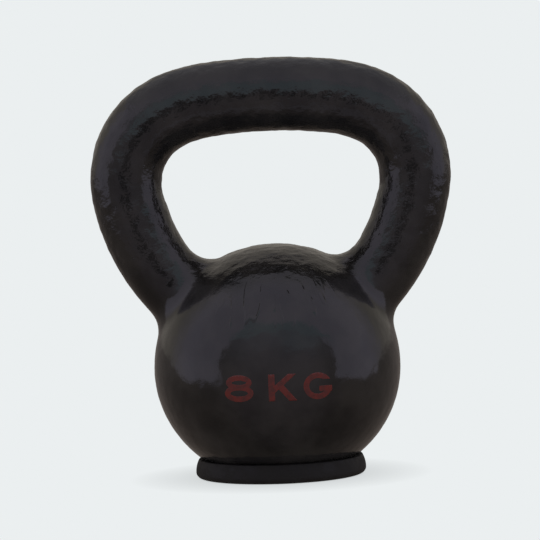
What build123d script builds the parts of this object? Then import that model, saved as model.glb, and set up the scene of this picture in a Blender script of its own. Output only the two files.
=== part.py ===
from build123d import *
import math
import os

os.makedirs("parts", exist_ok=True)

# An 8 kg kettlebell: one solid iron casting (ball, horns and grip), a rubber boot held to
# its foot by one screw and washer, and a weight mark painted on the front.
# Millimetres, +Z up. The origin is the middle of the flat underside. The grip runs
# along X and the marked front faces -Y.

# Ball
ball_radius = 59.0          # at the waist, and over the whole upper half
waist_height = 52.1         # the ball's centre
belly_depth = 55.6          # vertical semi-axis of the slightly flattened lower half
foot_height = 6.0           # flat underside of the iron, standing in the boot
foot_radius = 35.9          # short round pedestal that locates the boot

# Handle, a bent bar. Its centre line starts at the middle of the grip, turns downwards
# in four arcs, one after another, and runs straight into the ball.
grip_height = 182.5         # of the centre line at the middle of the grip
grip_bow = (246.0, 6.9)     # radius and turn in degrees: the nearly straight grip
grip_end = (65.0, 15.4)     # the grip easing into its corner
corner = (36.6, 77.5)       # the corner of the handle
horn = (91.0, 34.3)         # the leg curving in towards the ball
root_run = 16.0             # straight end of the leg, buried in the ball
bar_stations = 16           # sections lofted on each side of the middle
grip_radius = 17.6          # bar radius at the middle of the grip
shoulder_radius = 17.8      # where the grip meets the corner
leg_radius = 17.0           # where the corner meets the horn
root_radius = 16.8          # inside the ball
root_fillet = 13.0          # cast fillet round the foot of each horn

# Rubber boot
boot_radius = 40.8          # widest, just above the floor
boot_height = 9.0
boot_lip_radius = 39.2      # outer edge of the lip
boot_gap = 0.12             # between the rubber and the iron it surrounds
boot_bottom_round = 2.8
boot_lip_round = 0.5
groove_radii = (16.0, 22.0, 28.0, 34.0)     # anti-slip rings moulded in the underside
groove_width = 2.0
groove_depth = 1.2

# Fixing: an M5 button-head screw on a wide washer, sunk in the boot's underside
screw_radius = 2.5
screw_length = 16.0         # under the head
screw_tip_chamfer = 0.5
head_radius = 4.75
head_height = 2.75
head_round = 2.2
head_sunk = 0.25            # clear of the floor
socket_across_flats = 3.0
socket_depth = 1.6
washer_radius = 7.5
washer_hole_radius = 2.65
washer_thickness = 1.2
washer_edge = 0.15
recess_radius = 8.5
boot_hole_radius = 2.8
bore_radius = 2.55          # of the tapped hole, drawn plain
bore_depth = 14.0           # up into the iron

# Painted weight mark
mark_height = 12.5          # of each character
mark_middle = 46.8          # height of the line of characters above the floor
mark_stroke = 2.6
character_width = 13.2
character_space = 3.0
word_space = 7.0            # between the number and its unit
paint = 0.2                 # thickness of the film

recess_depth = head_sunk + head_height + washer_thickness
washer_bottom = head_sunk + head_height


def handle_centre_line():
    """The right half of the centre line, and the distances along it where each arc ends."""
    point, heading = Vector(0, grip_height), Vector(1, 0)
    pieces, ends = [], []
    travelled = 0.0
    for radius, turn in (grip_bow, grip_end, corner, horn):
        arc = JernArc(point, heading, radius, -turn)
        pieces.append(arc)
        travelled += arc.length
        ends.append(travelled)
        point, heading = arc @ 1, arc % 1
    pieces.append(Line(point, point + heading * root_run))
    return Plane.XZ * Wire(pieces), ends


def ease(value):
    """0 to 1 with a level start and finish."""
    value = min(max(value, 0.0), 1.0)
    return value * value * (3 - 2 * value)


def bar_radius(distance, arc_ends, total):
    """Radius of the bar at a distance from the middle of the grip."""
    stops = [0.0, arc_ends[1], arc_ends[2], total]
    radii = [grip_radius, shoulder_radius, leg_radius, root_radius]
    for start, end, first, second in zip(stops, stops[1:], radii, radii[1:]):
        if distance <= end:
            return first + (second - first) * ease((distance - start) / (end - start))
    return root_radius


def handle_bar():
    half, arc_ends = handle_centre_line()
    sections = []
    for step in range(-bar_stations, bar_stations + 1):
        along = abs(step) / bar_stations
        side = math.copysign(1, step)
        point, heading = half.position_at(along), half.tangent_at(along)
        centre = Vector(side * point.X, 0, point.Z)
        normal = Vector(heading.X, 0, side * heading.Z)
        radius = bar_radius(along * half.length, arc_ends, half.length)
        sections.append(Plane(centre, x_dir=(0, 1, 0), z_dir=normal) * Circle(radius))
    return loft(sections)


def ball_radius_at(height):
    """Radius of the ball's lower half at a height."""
    drop = (waist_height - height) / belly_depth
    return ball_radius * math.sqrt(1 - drop * drop)


def ball(skin=0.0):
    """The ball, cut flat at the foot. A skin makes it larger all round."""
    radius, depth = ball_radius + skin, belly_depth + skin
    sweep = math.degrees(math.asin((waist_height - foot_height) / depth))
    lower = EllipticalCenterArc(
        (0, waist_height), radius, depth, start_angle=-sweep, arc_size=sweep
    )
    upper = CenterArc((0, waist_height), radius, 0, 90)
    axis = Line(upper @ 1, (0, foot_height))
    foot = Line((0, foot_height), lower @ 0)
    return revolve(Plane.XZ * Face(Wire([lower, upper, axis, foot])), Axis.Z)


def bell_casting():
    bell, bar = ball(), handle_bar()
    body = bell + bar
    body = fillet(new_edges(bell, bar, combined=body), root_fillet)
    foot = Pos(0, 0, foot_height) * extrude(Circle(foot_radius), waist_height - foot_height)
    bore = Pos(0, 0, foot_height) * extrude(Circle(bore_radius), bore_depth)
    return body + foot - bore


def rubber_base():
    """A shallow cup. Its outside swells from the lip to the foot, and its rim hugs the ball."""
    flank_drop = belly_depth * math.sqrt(1 - (foot_radius / ball_radius) ** 2)
    pocket_radius = foot_radius + boot_gap
    corner_start = (boot_radius - boot_bottom_round, 0)
    corner_end = (boot_radius, boot_bottom_round)
    lip_outer = (boot_lip_radius, boot_height)
    lip_inner = (ball_radius_at(boot_height) + boot_gap, boot_height)
    pocket_top = (pocket_radius, waist_height - flank_drop)
    pocket_floor = (pocket_radius, foot_height)
    outside = [
        Line((0, 0), corner_start),
        TangentArc(corner_start, corner_end, tangent=(1, 0)),
        TangentArc(corner_end, lip_outer, tangent=(0, 1)),
    ]
    inside = Polyline(lip_outer, lip_inner, pocket_top, pocket_floor, (0, foot_height), (0, 0))
    cup = revolve(Plane.XZ * Face(Wire([*outside, *inside.edges()])), Axis.Z)
    lip_edges = cup.edges().filter_by_position(Axis.Z, boot_height, boot_height)
    cup = fillet(lip_edges.sort_by(SortBy.RADIUS)[-1], boot_lip_round)
    for radius in groove_radii:
        ring = Circle(radius + groove_width / 2) - Circle(radius - groove_width / 2)
        cup -= extrude(ring, groove_depth)
    cup -= extrude(Circle(recess_radius), recess_depth)
    cup -= extrude(Circle(boot_hole_radius), foot_height)
    return cup


def base_washer():
    ring = Circle(washer_radius) - Circle(washer_hole_radius)
    washer = Pos(0, 0, washer_bottom) * extrude(ring, washer_thickness)
    return chamfer(washer.edges(), washer_edge)


def base_screw():
    """Button head downwards, with its hexagon socket, and a plain shank up into the iron."""
    head = Pos(0, 0, head_sunk) * extrude(Circle(head_radius), head_height)
    head = fillet(head.edges().sort_by(Axis.Z)[0], head_round)
    socket = RegularPolygon(socket_across_flats / 2, 6, major_radius=False)
    head -= Pos(0, 0, head_sunk) * extrude(socket, socket_depth)
    shank = Pos(0, 0, washer_bottom) * extrude(Circle(screw_radius), screw_length)
    shank = chamfer(shank.edges().sort_by(Axis.Z)[-1], screw_tip_chamfer)
    return head + shank


def oval_ring(width, height):
    inner = Ellipse(width / 2 - mark_stroke, height / 2 - mark_stroke)
    return Ellipse(width / 2, height / 2) - inner


def figure_eight():
    """Two ovals, one on the other, sharing the stroke between them."""
    lower_height = mark_height * 0.64
    upper_height = mark_height + mark_stroke - lower_height
    upper_width = character_width * 0.9
    lower = Pos(0, (lower_height - mark_height) / 2) * oval_ring(character_width, lower_height)
    upper = Pos(0, (mark_height - upper_height) / 2) * oval_ring(upper_width, upper_height)
    return lower + upper


def letter_k():
    """Drawn in fractions of the character's width and height, from its lower left corner."""
    outline = [
        (0, 0), (0.22, 0), (0.22, 0.31), (0.36, 0.44), (0.71, 0), (1, 0),
        (0.53, 0.59), (0.98, 1), (0.69, 1), (0.22, 0.58), (0.22, 1), (0, 1),
    ]
    points = [((x - 0.5) * character_width, (y - 0.5) * mark_height) for x, y in outline]
    return Polygon(*points, align=None)


def letter_g():
    """An oval open on its upper right, with a shelf turned in at its middle."""
    oval = oval_ring(character_width, mark_height)
    right, opening = character_width / 2, mark_height * 0.24
    oval -= Pos(right / 2 + mark_stroke / 4, opening / 2) * Rectangle(right, opening)
    shelf = Pos(right * 0.55, -mark_stroke / 2) * Rectangle(right * 0.9, mark_stroke)
    return oval + shelf


def weight_mark():
    """The characters 8, K and G as a film of paint that follows the front of the ball."""
    film = ball(paint) - ball()
    spaces = [0, word_space, character_space]
    left = -(3 * character_width + sum(spaces)) / 2
    letters = []
    for character, space in zip([figure_eight(), letter_k(), letter_g()], spaces):
        left += space
        drawn = Plane.XZ * Pos(left + character_width / 2, mark_middle) * character
        letters += (extrude(drawn, 2 * ball_radius) & film).solids()
        left += character_width
    return Compound(children=letters)


nodes = {
    "bell_casting": bell_casting(),
    "rubber_base": rubber_base(),
    "base_washer": base_washer(),
    "base_screw": base_screw(),
    "weight_mark": weight_mark(),
}
for name, shape in nodes.items():
    export_step(shape, f"parts/{name}.step")
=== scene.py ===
import math

import bmesh
import bpy
import numpy as np
from mathutils import Matrix, Vector, noise
from mathutils.bvhtree import BVHTree


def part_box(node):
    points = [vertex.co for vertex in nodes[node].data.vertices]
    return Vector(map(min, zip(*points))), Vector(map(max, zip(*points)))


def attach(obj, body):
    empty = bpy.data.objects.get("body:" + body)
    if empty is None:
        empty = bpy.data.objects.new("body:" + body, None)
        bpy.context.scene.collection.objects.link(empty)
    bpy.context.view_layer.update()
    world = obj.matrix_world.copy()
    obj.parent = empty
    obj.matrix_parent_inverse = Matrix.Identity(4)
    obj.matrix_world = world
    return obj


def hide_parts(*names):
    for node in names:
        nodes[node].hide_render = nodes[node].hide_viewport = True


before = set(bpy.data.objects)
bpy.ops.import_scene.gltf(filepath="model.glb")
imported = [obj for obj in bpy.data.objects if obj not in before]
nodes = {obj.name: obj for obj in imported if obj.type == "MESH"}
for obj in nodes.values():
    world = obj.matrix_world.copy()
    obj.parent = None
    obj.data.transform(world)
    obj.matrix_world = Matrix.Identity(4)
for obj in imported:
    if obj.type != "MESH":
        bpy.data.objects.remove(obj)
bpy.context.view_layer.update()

scene = bpy.context.scene
print("frame loaded:", ", ".join(sorted(nodes)))


def addPiece(name, mesh):
    piece = bpy.data.objects.new(name, mesh)
    scene.collection.objects.link(piece)
    return piece


def applyModifiers(piece):
    graph = bpy.context.evaluated_depsgraph_get()
    old = piece.data
    piece.data = bpy.data.meshes.new_from_object(piece.evaluated_get(graph))
    piece.modifiers.clear()
    bpy.data.meshes.remove(old)


def shadeSmooth(mesh):
    mesh.polygons.foreach_set("use_smooth", [True] * len(mesh.polygons))
    mesh.update()


def ease(value, start, end):
    t = min(max((value - start) / (end - start), 0), 1)
    return t * t * (3 - 2 * t)


# The camera stands in front of the mark, a little above the ball, and leans slightly.
camera = {
    "aim": (-0.0019, 0.0, 0.0984),
    "distance": 1.322,
    "elevation": 2.5,
    "roll": 2.1,
    "lens": 184.1,
}


def makeCamera():
    data = bpy.data.cameras.new("camera")
    data.lens = camera["lens"]
    data.clip_end = 10
    holder = bpy.data.objects.new("camera", data)
    scene.collection.objects.link(holder)
    rise = math.radians(camera["elevation"])
    back = Vector((0, -math.cos(rise), math.sin(rise)))
    level = (-back).to_track_quat("-Z", "Y").to_matrix()
    lean = Matrix.Rotation(-math.radians(camera["roll"]), 3, "Z")
    holder.location = Vector(camera["aim"]) + back * camera["distance"]
    holder.rotation_euler = (level @ lean).to_euler()
    scene.camera = holder


makeCamera()
print("camera placed")


# Small helpers for node trees. Every maths node is made by one of these.
def calc(tree, operation, *values, clamp=False):
    node = tree.nodes.new("ShaderNodeMath")
    node.operation = operation
    node.use_clamp = clamp
    for socket, value in zip(node.inputs, values):
        if isinstance(value, bpy.types.NodeSocket):
            tree.links.new(value, socket)
        else:
            socket.default_value = value
    return node.outputs[0]


def soften(tree, value, start, end, low=0.0, high=1.0):
    node = tree.nodes.new("ShaderNodeMapRange")
    node.interpolation_type = "SMOOTHSTEP"
    tree.links.new(value, node.inputs["Value"])
    for name, number in zip(("From Min", "From Max", "To Min", "To Max"), (start, end, low, high)):
        node.inputs[name].default_value = number
    return node.outputs["Result"]


def mixColour(tree, factor, first, second, blend="MIX"):
    node = tree.nodes.new("ShaderNodeMix")
    node.data_type = "RGBA"
    node.blend_type = blend
    for socket, value in zip((node.inputs[0], node.inputs[6], node.inputs[7]), (factor, first, second)):
        if isinstance(value, bpy.types.NodeSocket):
            tree.links.new(value, socket)
        else:
            socket.default_value = value if isinstance(value, float) else (*value, 1)
    return node.outputs[2]


def colourRamp(tree, value, stops):
    node = tree.nodes.new("ShaderNodeValToRGB")
    tree.links.new(value, node.inputs["Fac"])
    elements = node.color_ramp.elements
    while len(elements) < len(stops):
        elements.new(0.5)
    for element, (place, colour) in zip(elements, stops):
        element.position = place
        element.color = (*colour, 1)
    return node.outputs["Color"]


# A white tent over a dark table. Its front is open in an arch, and angles are in degrees:
# azimuth 0 is the open front, elevation 0 the horizon.
studio = {
    "backdrop": (0.831, 0.863, 0.871),
    "tent": (0.64, 0.61, 0.75),
    "tentBack": (0.38, 0.35, 0.31),
    "backFrom": (90, 125),          # azimuths between which the tent dims
    "backUpTo": (45, 80),           # elevations between which it is bright again
    "archHalfWidth": 56.0,
    "archTop": 46.0,
    "archSoft": 0.05,
    "tentFoot": -9.5,
    "tentFootBehind": 4.0,
    "footRises": (85, 130),         # azimuths between which the foot rises to the back
    "footSoft": 2.0,
    "archInside": [                 # elevation, colour
        (-90, (0.085, 0.070, 0.062)),
        (-72, (0.105, 0.086, 0.080)),
        (-50, (0.160, 0.132, 0.132)),
        (-32, (0.245, 0.205, 0.215)),
        (-12, (0.285, 0.250, 0.275)),
        (8, (0.310, 0.285, 0.325)),
        (22, (0.390, 0.380, 0.450)),
        (32, (0.430, 0.430, 0.520)),
        (45, (0.445, 0.490, 0.570)),
    ],
    "sideTint": (0.66, 0.64, 0.52),
    "sideFrom": (25, 75),
    "glow": (0.45, 0.49, 0.57),
    "glowAt": (24.0, 28.0),
    "glowSize": (24.0, 14.0),
    "glowCore": 0.2,                # of its area, at full strength
    "fill": (0.50, 0.48, 0.48),     # all that matte surfaces receive
}


def makeWorld():
    world = bpy.data.worlds.new("studio")
    scene.world = world
    world.use_nodes = True
    tree = world.node_tree
    link = tree.links.new
    direction = tree.nodes.new("ShaderNodeTexCoord").outputs["Generated"]
    parts = tree.nodes.new("ShaderNodeSeparateXYZ")
    link(direction, parts.inputs[0])
    x, y, z = parts.outputs
    toDegrees = math.degrees(1)
    fromFront = calc(tree, "ARCTAN2", x, calc(tree, "MULTIPLY", y, -1.0))
    azimuth = calc(tree, "MULTIPLY", fromFront, toDegrees)
    elevation = calc(tree, "MULTIPLY", calc(tree, "ARCSINE", z), toDegrees)
    aside = calc(tree, "ABSOLUTE", azimuth)

    # Through the arch: the room by elevation, warmer at the sides, with a soft glow.
    inside = colourRamp(tree, calc(tree, "MULTIPLY_ADD", elevation, 1 / 180, 0.5),
                        [(angle / 180 + 0.5, colour) for angle, colour in studio["archInside"]])
    tinted = mixColour(tree, 1.0, inside, studio["sideTint"], "MULTIPLY")
    inside = mixColour(tree, soften(tree, aside, *studio["sideFrom"]), inside, tinted)
    squares = []
    for angle, middle, size in zip((azimuth, elevation), studio["glowAt"], studio["glowSize"]):
        offset = calc(tree, "DIVIDE", calc(tree, "SUBTRACT", angle, middle), size)
        squares.append(calc(tree, "MULTIPLY", offset, offset))
    glowing = soften(tree, calc(tree, "ADD", *squares), studio["glowCore"], 1.0, 1.0, 0.0)
    inside = mixColour(tree, glowing, inside, studio["glow"])

    # Round it: the tent, down to its foot on the table.
    across = calc(tree, "POWER", calc(tree, "DIVIDE", aside, studio["archHalfWidth"]), 2.0)
    upwards = calc(tree, "DIVIDE", calc(tree, "MAXIMUM", elevation, 0.0), studio["archTop"])
    arch = calc(tree, "ADD", across, calc(tree, "POWER", upwards, 2.0))
    outside = soften(tree, arch, 1 - studio["archSoft"], 1 + studio["archSoft"])
    foot = soften(tree, aside, *studio["footRises"], studio["tentFoot"], studio["tentFootBehind"])
    aboveFoot = calc(tree, "SUBTRACT", elevation, foot)
    aboveTable = soften(tree, aboveFoot, -studio["footSoft"], studio["footSoft"])
    behind = soften(tree, aside, *studio["backFrom"])
    low = soften(tree, elevation, *studio["backUpTo"], 1.0, 0.0)
    tent = mixColour(tree, calc(tree, "MULTIPLY", behind, low), studio["tent"], studio["tentBack"])
    seen = mixColour(tree, calc(tree, "MULTIPLY", outside, aboveTable), inside, tent)

    ray = tree.nodes.new("ShaderNodeLightPath").outputs
    light = mixColour(tree, ray["Is Diffuse Ray"], seen, studio["fill"])
    light = mixColour(tree, ray["Is Camera Ray"], light, studio["backdrop"])
    link(light, tree.nodes["Background"].inputs["Color"])
    world.cycles.sampling_method = "NONE"


# Cards round the kettlebell, which only reflections see. Each is flat: its middle, the
# two half edges from there, and how bright it is at its foot and at its head.
cards = {
    "flap": ((0.05, -0.425, 0.428), (0.32, 0, 0), (0, -0.172, 0.212),
             (0.45, 0.56, 0.64), (0.45, 0.56, 0.64)),
    "lens": ((-0.125, -0.86, 0.145), (0.195, 0, 0), (0, 0, 0.105),
             (0.02, 0.02, 0.025), (0.02, 0.02, 0.025)),
    "frontFill": ((0.0, -0.13, 0.0635), (0.055, 0, 0), (0, 0, 0.0285),
                  (0.275, 0.240, 0.262), (0.364, 0.344, 0.405)),
    "gripShade": ((0, -0.0135, 0.225), (0.11, 0, 0), (0, 0.0435, 0),
                  (0.60, 0.575, 0.69), (0.34, 0.34, 0.35)),
}


def glowingMaterial(name):
    material = bpy.data.materials.new(name)
    material.use_nodes = True
    shader = material.node_tree.nodes["Principled BSDF"]
    shader.inputs["Base Color"].default_value = (0, 0, 0, 1)
    shader.inputs["Specular IOR Level"].default_value = 0
    shader.inputs["Emission Strength"].default_value = 1
    return material, material.node_tree, shader


def makeCard(name):
    middle, across, upwards, footColour, headColour = cards[name]
    middle, across, upwards = Vector(middle), Vector(across), Vector(upwards)
    around = ((-1, -1), (1, -1), (1, 1), (-1, 1))
    corners = [middle + across * i + upwards * j for i, j in around]
    mesh = bpy.data.meshes.new(name)
    mesh.from_pydata(corners, [], [(0, 1, 2, 3)])
    card = addPiece(name, mesh)
    card.visible_camera = False
    card.visible_diffuse = False
    card.visible_shadow = False
    material, tree, shader = glowingMaterial(name)
    if footColour == headColour:
        shader.inputs["Emission Color"].default_value = (*footColour, 1)
    else:
        place = tree.nodes.new("ShaderNodeTexCoord").outputs["Generated"]
        parts = tree.nodes.new("ShaderNodeSeparateXYZ")
        tree.links.new(place, parts.inputs[0])
        rise = parts.outputs["Z" if upwards.z else "Y"]
        tree.links.new(mixColour(tree, rise, footColour, headColour), shader.inputs["Emission Color"])
    mesh.materials.append(material)


# A pale floor of the backdrop's colour. A painted contact shadow, made from ambient occlusion, darkens it
# only where the boot nearly touches it, and it is clear from below.
floor = {"radius": 1.5, "height": -0.0001, "shadowReach": 0.032, "shadow": 0.32}


def floorMaterial():
    material, tree, shader = glowingMaterial("paleFloor")
    near = tree.nodes.new("ShaderNodeAmbientOcclusion")
    near.samples = 16
    near.inputs["Distance"].default_value = floor["shadowReach"]
    # Painted contact shadow: ambient occlusion near the boot dims the floor's glowing colour.
    openSky = calc(tree, "MULTIPLY_ADD", near.outputs["AO"], floor["shadow"], 1 - floor["shadow"])
    shaded = mixColour(tree, 1.0, studio["backdrop"], openSky, "MULTIPLY")
    tree.links.new(shaded, shader.inputs["Emission Color"])
    below = tree.nodes.new("ShaderNodeNewGeometry").outputs["Backfacing"]
    tree.links.new(calc(tree, "SUBTRACT", 1.0, below), shader.inputs["Alpha"])
    return material


def makeFloor():
    mesh = bpy.data.meshes.new("floor")
    build = bmesh.new()
    bmesh.ops.create_circle(build, cap_ends=True, segments=64, radius=floor["radius"])
    build.to_mesh(mesh)
    build.free()
    mesh.materials.append(floorMaterial())
    ground = addPiece("floor", mesh)
    ground.location.z = floor["height"]
    ground.visible_glossy = False
    ground.visible_diffuse = False


makeWorld()
for name in cards:
    makeCard(name)
makeFloor()
scene.view_settings.view_transform = "Standard"
print("studio lit")


# The iron under its enamel. The lumps are left by the sand, and the coats of enamel
# have levelled the belly of the ball more than the handle.
casting = {
    "voxel": 0.00108,
    "smoothing": 8,
    "lumps": [(0.0080, 0.00016), (0.0046, 0.00020), (0.0030, 0.00016)],   # size, height
    "bellyCalm": 0.30,
    "roughFrom": 0.088,
    "roughTo": 0.106,
}


def lumpHeight(point):
    height = sum(depth * noise.noise(point / size) for size, depth in casting["lumps"])
    rough = ease(point.z, casting["roughFrom"], casting["roughTo"])
    return height * (casting["bellyCalm"] + (1 - casting["bellyCalm"]) * rough)


def makeCasting():
    skin = addPiece("castingSkin", nodes["bell_casting"].data.copy())
    remesh = skin.modifiers.new("remesh", "REMESH")
    remesh.mode = "VOXEL"
    remesh.voxel_size = casting["voxel"]
    settle = skin.modifiers.new("settle", "SMOOTH")
    settle.iterations = casting["smoothing"]
    applyModifiers(skin)
    mesh = skin.data
    points = [vertex.co.copy() for vertex in mesh.vertices]
    normals = [normal.vector.copy() for normal in mesh.vertex_normals]
    moved = [point + normal * lumpHeight(point) for point, normal in zip(points, normals)]
    mesh.vertices.foreach_set("co", np.array(moved).ravel())
    shadeSmooth(mesh)
    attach(skin, "root")
    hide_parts("bell_casting")
    print("casting skin:", len(mesh.polygons), "faces")
    return skin


skin = makeCasting()


# The painted characters, cut into small cells so that they follow the lumps.
mark = {
    "cell": 0.0006,
    "stand": 0.00005,            # of the film's face above the enamel
    "thickness": 0.00011,
    "ballCentre": (0, 0, 0.0521),
    "outside": 0.08,             # from that centre, beyond the ball's surface
    "faceOutward": 0.7,          # cosine that tells the film's face from its edges and back
}


def makeMark(surface):
    build = bmesh.new()
    build.from_mesh(nodes["weight_mark"].data)
    centre = Vector(mark["ballCentre"])
    bmesh.ops.remove_doubles(build, verts=build.verts, dist=1e-6)
    hidden = []
    for face in build.faces:
        outward = (face.calc_center_median() - centre).normalized()
        if face.normal.dot(outward) < mark["faceOutward"]:
            hidden.append(face)
    bmesh.ops.delete(build, geom=hidden, context="FACES")
    low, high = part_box("weight_mark")
    for axis in (0, 2):
        direction = Vector((axis == 0, 0, axis == 2))
        for step in range(1, int((high[axis] - low[axis]) / mark["cell"])):
            cut = low + direction * step * mark["cell"]
            geometry = build.verts[:] + build.edges[:] + build.faces[:]
            bmesh.ops.bisect_plane(build, geom=geometry, plane_co=cut, plane_no=direction)
    tree = BVHTree.FromObject(surface, bpy.context.evaluated_depsgraph_get())
    for vertex in build.verts:
        outward = (vertex.co - centre).normalized()
        hit = tree.ray_cast(centre + outward * mark["outside"], -outward)[0]
        vertex.co = hit + outward * mark["stand"]
    mesh = bpy.data.meshes.new("markPaint")
    build.to_mesh(mesh)
    build.free()
    paint = addPiece("markPaint", mesh)
    film = paint.modifiers.new("film", "SOLIDIFY")
    film.thickness = mark["thickness"]
    film.offset = -1
    applyModifiers(paint)
    shadeSmooth(paint.data)
    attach(paint, "root")
    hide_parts("weight_mark")
    print("mark:", len(paint.data.polygons), "faces")
    return paint


paint = makeMark(skin)


def newMaterial(name):
    material = bpy.data.materials.new(name)
    material.use_nodes = True
    return material, material.node_tree, material.node_tree.nodes["Principled BSDF"]


def noiseNode(tree, place, scale, detail=2.0, roughness=0.5):
    node = tree.nodes.new("ShaderNodeTexNoise")
    tree.links.new(place, node.inputs["Vector"])
    if isinstance(scale, bpy.types.NodeSocket):
        tree.links.new(scale, node.inputs["Scale"])
    else:
        node.inputs["Scale"].default_value = scale
    node.inputs["Detail"].default_value = detail
    node.inputs["Roughness"].default_value = roughness
    return node.outputs["Fac"]


def splitPlace(tree, place):
    parts = tree.nodes.new("ShaderNodeSeparateXYZ")
    tree.links.new(place, parts.inputs[0])
    return parts.outputs


def objectPlace(tree):
    return tree.nodes.new("ShaderNodeTexCoord").outputs["Object"]


def bump(tree, shader, height, depth):
    node = tree.nodes.new("ShaderNodeBump")
    node.inputs["Distance"].default_value = depth
    tree.links.new(height, node.inputs["Height"])
    tree.links.new(node.outputs["Normal"], shader.inputs["Normal"])


def newGroup(name, inputs, output):
    group = bpy.data.node_groups.new(name, "ShaderNodeTree")
    for label, kind in inputs:
        group.interface.new_socket(label, in_out="INPUT", socket_type=kind)
    group.interface.new_socket(output, in_out="OUTPUT", socket_type="NodeSocketFloat")
    return group, group.nodes.new("NodeGroupInput").outputs, group.nodes.new("NodeGroupOutput").inputs


def useGroup(tree, group, **values):
    node = tree.nodes.new("ShaderNodeGroup")
    node.node_tree = group
    for label, value in values.items():
        if isinstance(value, bpy.types.NodeSocket):
            tree.links.new(value, node.inputs[label])
        else:
            node.inputs[label].default_value = value
    return node.outputs[0]


# Fine unevenness of one size, for whatever finish lies over it.
def makeGrain():
    group, given, result = newGroup(
        "grain", [("Place", "NodeSocketVector"), ("Size", "NodeSocketFloat")], "Height")
    scale = calc(group, "DIVIDE", 1.0, given["Size"])
    coarse = noiseNode(group, given["Place"], scale, 1.0)
    fine = noiseNode(group, given["Place"], calc(group, "MULTIPLY", scale, 2.3), 2.0, 0.6)
    group.links.new(calc(group, "MULTIPLY_ADD", fine, 0.35, coarse), result["Height"])
    return group


# Dust lies in patches where a surface faces up.
def makeDust():
    inputs = [("Place", "NodeSocketVector"), ("Normal", "NodeSocketVector"), ("Amount", "NodeSocketFloat")]
    group, given, result = newGroup("dust", inputs, "Mask")
    facing = soften(group, splitPlace(group, given["Normal"])["Z"], 0.2, 0.95)
    patches = soften(group, noiseNode(group, given["Place"], 130, 4.0, 0.65), 0.42, 0.72)
    specks = soften(group, noiseNode(group, given["Place"], 1500, 1.0), 0.66, 0.74)
    lying = calc(group, "MULTIPLY", facing, calc(group, "MULTIPLY_ADD", patches, 0.7, specks))
    group.links.new(calc(group, "MULTIPLY", lying, given["Amount"], clamp=True), result["Mask"])
    return group


grain, dust = makeGrain(), makeDust()
print("grain and dust made")


def facingUp(tree):
    return tree.nodes.new("ShaderNodeNewGeometry").outputs["Normal"]


# Thick gloss enamel. It shows the sand's grain and small craters on the handle, and
# has run a little down the upper ball.
enamel = {
    "colour": (0.0098, 0.0094, 0.0100),
    "clouded": (0.0225, 0.0210, 0.0208),
    "dust": (0.11, 0.10, 0.085),
    "dusty": 0.10,
    "roughness": (0.09, 0.15),
    "handleRoughness": 0.012,
    "roughFrom": 0.084,          # heights between which the ball turns into the handle
    "roughTo": 0.104,
    "wander": 0.024,             # of that border, up and down
    "grains": [(0.0012, 1.00), (0.0026, 1.70)],     # size, weight
    "ballGrain": 0.18,
    "craters": 290.0,
    "crater": 0.95,
    "runs": (6.0, 34.0),         # how often they change, round the ball and downwards
    "runWidth": 0.04,
    "runsAside": (0.018, 0.030),
    "runsFront": (-0.02, 0.0),
    "runsBetween": (0.073, 0.079, 0.089, 0.096),
    "run": 3.6,
    "depth": 0.00010,
}


def craterHeight(tree, place):
    node = tree.nodes.new("ShaderNodeTexVoronoi")
    node.inputs["Scale"].default_value = enamel["craters"]
    tree.links.new(place, node.inputs["Vector"])
    ring = colourRamp(tree, node.outputs["Distance"], [
        (0.00, (0.10, 0.10, 0.10)), (0.09, (0.20, 0.20, 0.20)), (0.14, (1.00, 1.00, 1.00)),
        (0.18, (0.90, 0.90, 0.90)), (0.25, (0.50, 0.50, 0.50)),
    ])
    pick = tree.nodes.new("ShaderNodeSeparateColor")
    tree.links.new(node.outputs["Color"], pick.inputs[0])
    chosen = soften(tree, pick.outputs[0], 0.55, 0.62)
    return calc(tree, "MULTIPLY", calc(tree, "SUBTRACT", ring, 0.5), chosen)


def runHeight(tree, place):
    x, y, height = splitPlace(tree, place)
    turn = calc(tree, "ARCTAN2", x, y)
    flat = tree.nodes.new("ShaderNodeCombineXYZ")
    tree.links.new(calc(tree, "MULTIPLY", turn, enamel["runs"][0]), flat.inputs["X"])
    tree.links.new(calc(tree, "MULTIPLY", height, enamel["runs"][1]), flat.inputs["Y"])
    streaks = calc(tree, "SUBTRACT", noiseNode(tree, flat.outputs[0], 1.0, 2.0, 0.35), 0.5)
    line = soften(tree, calc(tree, "ABSOLUTE", streaks), 0.0, enamel["runWidth"], 1.0, 0.0)
    start, full, fade, end = enamel["runsBetween"]
    masks = [
        soften(tree, height, start, full),
        soften(tree, height, fade, end, 1.0, 0.0),
        soften(tree, calc(tree, "ABSOLUTE", x), *enamel["runsAside"], 1.0, 0.0),
        soften(tree, y, *enamel["runsFront"], 1.0, 0.0),
        soften(tree, noiseNode(tree, place, 70), 0.46, 0.56),
    ]
    for mask in masks:
        line = calc(tree, "MULTIPLY", line, mask)
    return line


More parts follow.
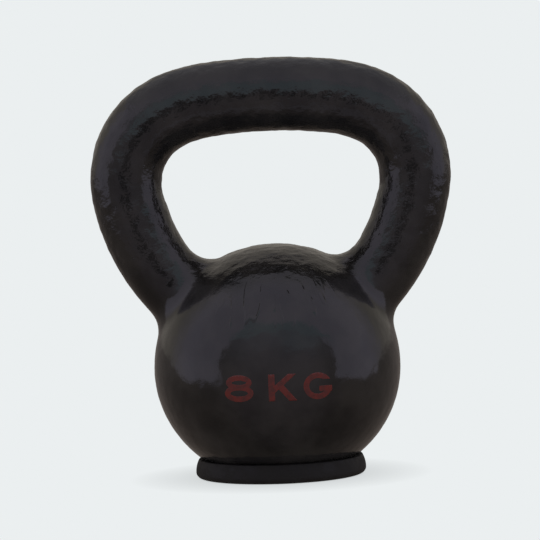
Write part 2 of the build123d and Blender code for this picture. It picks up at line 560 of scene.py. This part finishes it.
def enamelMaterial():
    material, tree, shader = newMaterial("blackEnamel")
    place = objectPlace(tree)
    height = calc(tree, "SUBTRACT", splitPlace(tree, place)["Z"], enamel["wander"] / 2)
    wandered = calc(tree, "MULTIPLY_ADD", noiseNode(tree, place, 55), enamel["wander"], height)
    handle = soften(tree, wandered, enamel["roughFrom"], enamel["roughTo"])
    dirt = useGroup(tree, dust, Place=place, Normal=facingUp(tree), Amount=enamel["dusty"])
    cloud = soften(tree, noiseNode(tree, place, 60, 3.0), 0.3, 0.7)
    colour = mixColour(tree, cloud, enamel["colour"], enamel["clouded"])
    tree.links.new(mixColour(tree, dirt, colour, enamel["dust"]), shader.inputs["Base Color"])
    gloss = soften(tree, noiseNode(tree, place, 90), 0.3, 0.7, *enamel["roughness"])
    gloss = calc(tree, "MULTIPLY_ADD", handle, enamel["handleRoughness"], gloss)
    tree.links.new(calc(tree, "MULTIPLY_ADD", dirt, 0.5, gloss), shader.inputs["Roughness"])
    relief = calc(tree, "MULTIPLY", craterHeight(tree, place), enamel["crater"])
    for size, weight in enamel["grains"]:
        bumps = useGroup(tree, grain, Place=place, Size=size)
        relief = calc(tree, "MULTIPLY_ADD", bumps, weight, relief)
    calm = calc(tree, "MULTIPLY_ADD", handle, 1 - enamel["ballGrain"], enamel["ballGrain"])
    relief = calc(tree, "MULTIPLY", relief, calm)
    relief = calc(tree, "MULTIPLY_ADD", runHeight(tree, place), enamel["run"], relief)
    bump(tree, shader, relief, enamel["depth"])
    return material


# Screen-printed paint, rubbed through in spots.
printed = {
    "colour": (0.128, 0.0150, 0.0110),
    "thin": (0.085, 0.0120, 0.0095),
    "roughness": (0.28, 0.46),
    "grain": 0.0007,
    "depth": 0.00004,
}


def printMaterial():
    material, tree, shader = newMaterial("redPrint")
    place = objectPlace(tree)
    cloud = soften(tree, noiseNode(tree, place, 420, 3.0, 0.6), 0.38, 0.66)
    rubbed = soften(tree, noiseNode(tree, place, 700, 4.0, 0.7), 0.66, 0.71)
    colour = mixColour(tree, cloud, printed["colour"], printed["thin"])
    tree.links.new(mixColour(tree, rubbed, colour, enamel["colour"]), shader.inputs["Base Color"])
    tree.links.new(soften(tree, cloud, 0, 1, *printed["roughness"]), shader.inputs["Roughness"])
    bump(tree, shader, useGroup(tree, grain, Place=place, Size=printed["grain"]), printed["depth"])
    return material


# Matte moulded rubber, greyed in patches.
rubber = {
    "gloss": 0.32,
    "colour": (0.0092, 0.0087, 0.0088),
    "greyed": (0.0132, 0.0124, 0.0120),
    "dust": (0.10, 0.095, 0.085),
    "dusty": 0.22,
    "roughness": (0.60, 0.76),
    "grain": 0.0009,
    "depth": 0.00005,
}


def rubberMaterial():
    material, tree, shader = newMaterial("blackRubber")
    place = objectPlace(tree)
    shader.inputs["Specular IOR Level"].default_value = rubber["gloss"]
    dirt = useGroup(tree, dust, Place=place, Normal=facingUp(tree), Amount=rubber["dusty"])
    cloud = soften(tree, noiseNode(tree, place, 110, 4.0, 0.6), 0.35, 0.65)
    colour = mixColour(tree, cloud, rubber["colour"], rubber["greyed"])
    tree.links.new(mixColour(tree, dirt, colour, rubber["dust"]), shader.inputs["Base Color"])
    tree.links.new(soften(tree, cloud, 0, 1, *rubber["roughness"]), shader.inputs["Roughness"])
    bump(tree, shader, useGroup(tree, grain, Place=place, Size=rubber["grain"]), rubber["depth"])
    return material


# Zinc plating on the washer and the screw.
zinc = {
    "colour": (0.56, 0.56, 0.57),
    "dulled": (0.40, 0.40, 0.39),
    "roughness": (0.24, 0.42),
    "grain": 0.0004,
    "depth": 0.00002,
}


def zincMaterial():
    material, tree, shader = newMaterial("zincPlate")
    place = objectPlace(tree)
    shader.inputs["Metallic"].default_value = 1
    cloud = soften(tree, noiseNode(tree, place, 500, 3.0), 0.35, 0.65)
    tree.links.new(mixColour(tree, cloud, zinc["colour"], zinc["dulled"]), shader.inputs["Base Color"])
    tree.links.new(soften(tree, cloud, 0, 1, *zinc["roughness"]), shader.inputs["Roughness"])
    bump(tree, shader, useGroup(tree, grain, Place=place, Size=zinc["grain"]), zinc["depth"])
    return material


def dress(piece, material):
    piece.data.materials.clear()
    piece.data.materials.append(material)


dress(skin, enamelMaterial())
dress(paint, printMaterial())
nodes["rubber_base"].material_slots[0].material = rubberMaterial()
steel = zincMaterial()
for name in ("base_washer", "base_screw"):
    nodes[name].material_slots[0].material = steel
print("materials made")
